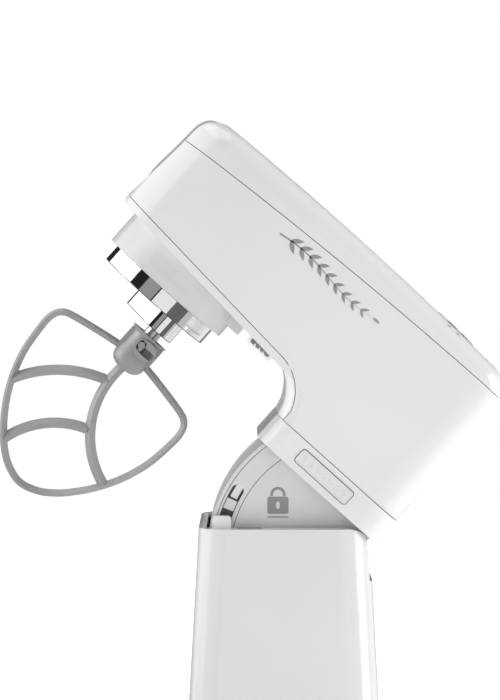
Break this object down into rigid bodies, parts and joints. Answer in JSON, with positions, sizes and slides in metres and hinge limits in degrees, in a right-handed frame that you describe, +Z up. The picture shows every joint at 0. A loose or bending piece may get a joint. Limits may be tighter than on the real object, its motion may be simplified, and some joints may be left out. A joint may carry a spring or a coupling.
{
  "type": "stand mixer",
  "caption": "Tilt-head kitchen stand mixer with planetary drive, flat beater, front drive port under a flap, speed dial, head lock and a bowl seat in its foot.",
  "frame": {"origin": "centre of the bounding box on the surface it stands on, with the head open", "axes": "+Z up, -Y towards the front of the machine, +X towards its right-hand side when its back is faced"},
  "size_m": [0.21, 0.4205, 0.4891],
  "materials": {
    "shell": "glossy white lacquer on the casings, collar, column and foot",
    "trim": "smooth moulded white trim",
    "chrome": "polished",
    "satin": "cast and satin finished",
    "steel": "machined",
    "casting": "die cast",
    "nylon": "moulded nylon",
    "black": "moulded black plastic",
    "rubber": "moulded rubber",
    "iron": "sintered and laminated iron",
    "copper": "drawn",
    "board": "circuit board",
    "lens": "clear moulded lens"
  },
  "bodies": {
    "base": {"base_housing": "shell", "base_bottom_cover": "black", "bottom_screws": "steel", "rubber_feet": "rubber", "bowl_plate": "chrome", "bowl_plate_screws": "steel", "hinge_pin": "steel", "pin_clips": "steel", "stop_blocks": "trim", "rest_pads": "rubber", "lock_guide": "black", "lock_spring": "steel", "cord_gland": "black", "mains_terminal": "black"},
    "lock": {"release_button": "trim", "lock_bolt": "steel"},
    "carrier": {"planet_carrier": "chrome", "carrier_shaft": "steel", "main_gear": "nylon", "bevel_gear": "steel"},
    "spindle": {"beater_spindle": "steel", "bayonet_pin": "steel", "planet_pinion": "nylon"},
    "beater": {"flat_beater": "satin"},
    "lay": {"layshaft": "steel", "large_pulley": "black"},
    "rotor": {"rotor_core": "iron", "commutator": "copper", "motor_shaft": "steel", "motor_pulley": "steel"},
    "port": {"port_socket": "steel"},
    "dial": {"speed_dial": "chrome"},
    "flap": {"front_cover": "chrome"},
    "head": {"head_top_cover": "shell", "head_lower_shell": "shell", "underside_cover": "trim", "neck_band": "trim", "neck_lip": "trim", "badge_plates": "chrome", "quadrant_sides": "trim", "quadrant_front": "trim", "catch_plates": "chrome", "head_chassis": "casting", "main_bearings": "steel", "shaft_bushes": "copper", "hub_skirt": "trim", "ring_gear": "nylon", "lamp_lens": "lens", "lamp_board": "board", "head_screws": "steel", "drive_belt": "rubber", "motor_can": "steel", "motor_end_caps": "casting", "motor_magnets": "iron", "carbon_brushes": "iron", "port_ring": "chrome", "dial_bezel": "chrome", "speed_switch": "black", "control_board": "board"}
  },
  "joints": [
    {"name": "head_tilt", "type": "hinge", "parent": "base", "child": "head", "pos_m": [0, 0.0978, 0.176], "axis": [1, 0, 0], "range_deg": [0, 42]},
    {"name": "lock_button", "type": "slide", "parent": "base", "child": "lock", "axis": [1, 0, 0], "range_m": [0, 0.004], "stiffness_N_per_m": 800, "springref_m": -0.003, "deforming": ["lock_spring"]},
    {"name": "carrier_spin", "type": "hinge", "parent": "head", "child": "carrier", "pos_m": [0, -0.03803, 0.36289], "axis": [0, 0.6691, 0.7431], "continuous": true},
    {"name": "spindle_spin", "type": "hinge", "parent": "carrier", "child": "spindle", "pos_m": [0.02771, -0.02614, 0.35219], "axis": [0, 0.6691, 0.7431], "continuous": true},
    {"name": "beater_push", "type": "slide", "parent": "spindle", "child": "beater", "axis": [0, 0.6691, 0.7431], "range_m": [0, 0.004], "stiffness_N_per_m": 1200, "springref_m": -0.004},
    {"name": "lay_spin", "type": "hinge", "parent": "head", "child": "lay", "pos_m": [0, 0.03411, 0.38137], "axis": [0, 0.6691, 0.7431], "continuous": true},
    {"name": "motor_spin", "type": "hinge", "parent": "head", "child": "rotor", "pos_m": [0, 0.12087, 0.27634], "axis": [0, 0.6691, 0.7431], "continuous": true},
    {"name": "port_spin", "type": "hinge", "parent": "head", "child": "port", "pos_m": [0, -0.01178, 0.44287], "axis": [0, 0.7431, -0.6691], "continuous": true},
    {"name": "dial_turn", "type": "hinge", "parent": "head", "child": "dial", "pos_m": [0, 0.1786, 0.33672], "axis": [0, 0.6947, 0.7193], "range_deg": [0, 250]},
    {"name": "front_flap", "type": "hinge", "parent": "head", "child": "flap", "pos_m": [0, 0.01436, 0.4852], "axis": [-1, 0, 0], "range_deg": [0, 100]}
  ],
  "couplings": [
    {"joint": "spindle_spin", "follows": "carrier_spin", "ratio": -3.2857},
    {"joint": "lay_spin", "follows": "carrier_spin", "ratio": -5},
    {"joint": "motor_spin", "follows": "carrier_spin", "ratio": -25},
    {"joint": "port_spin", "follows": "carrier_spin", "ratio": -1}
  ]
}
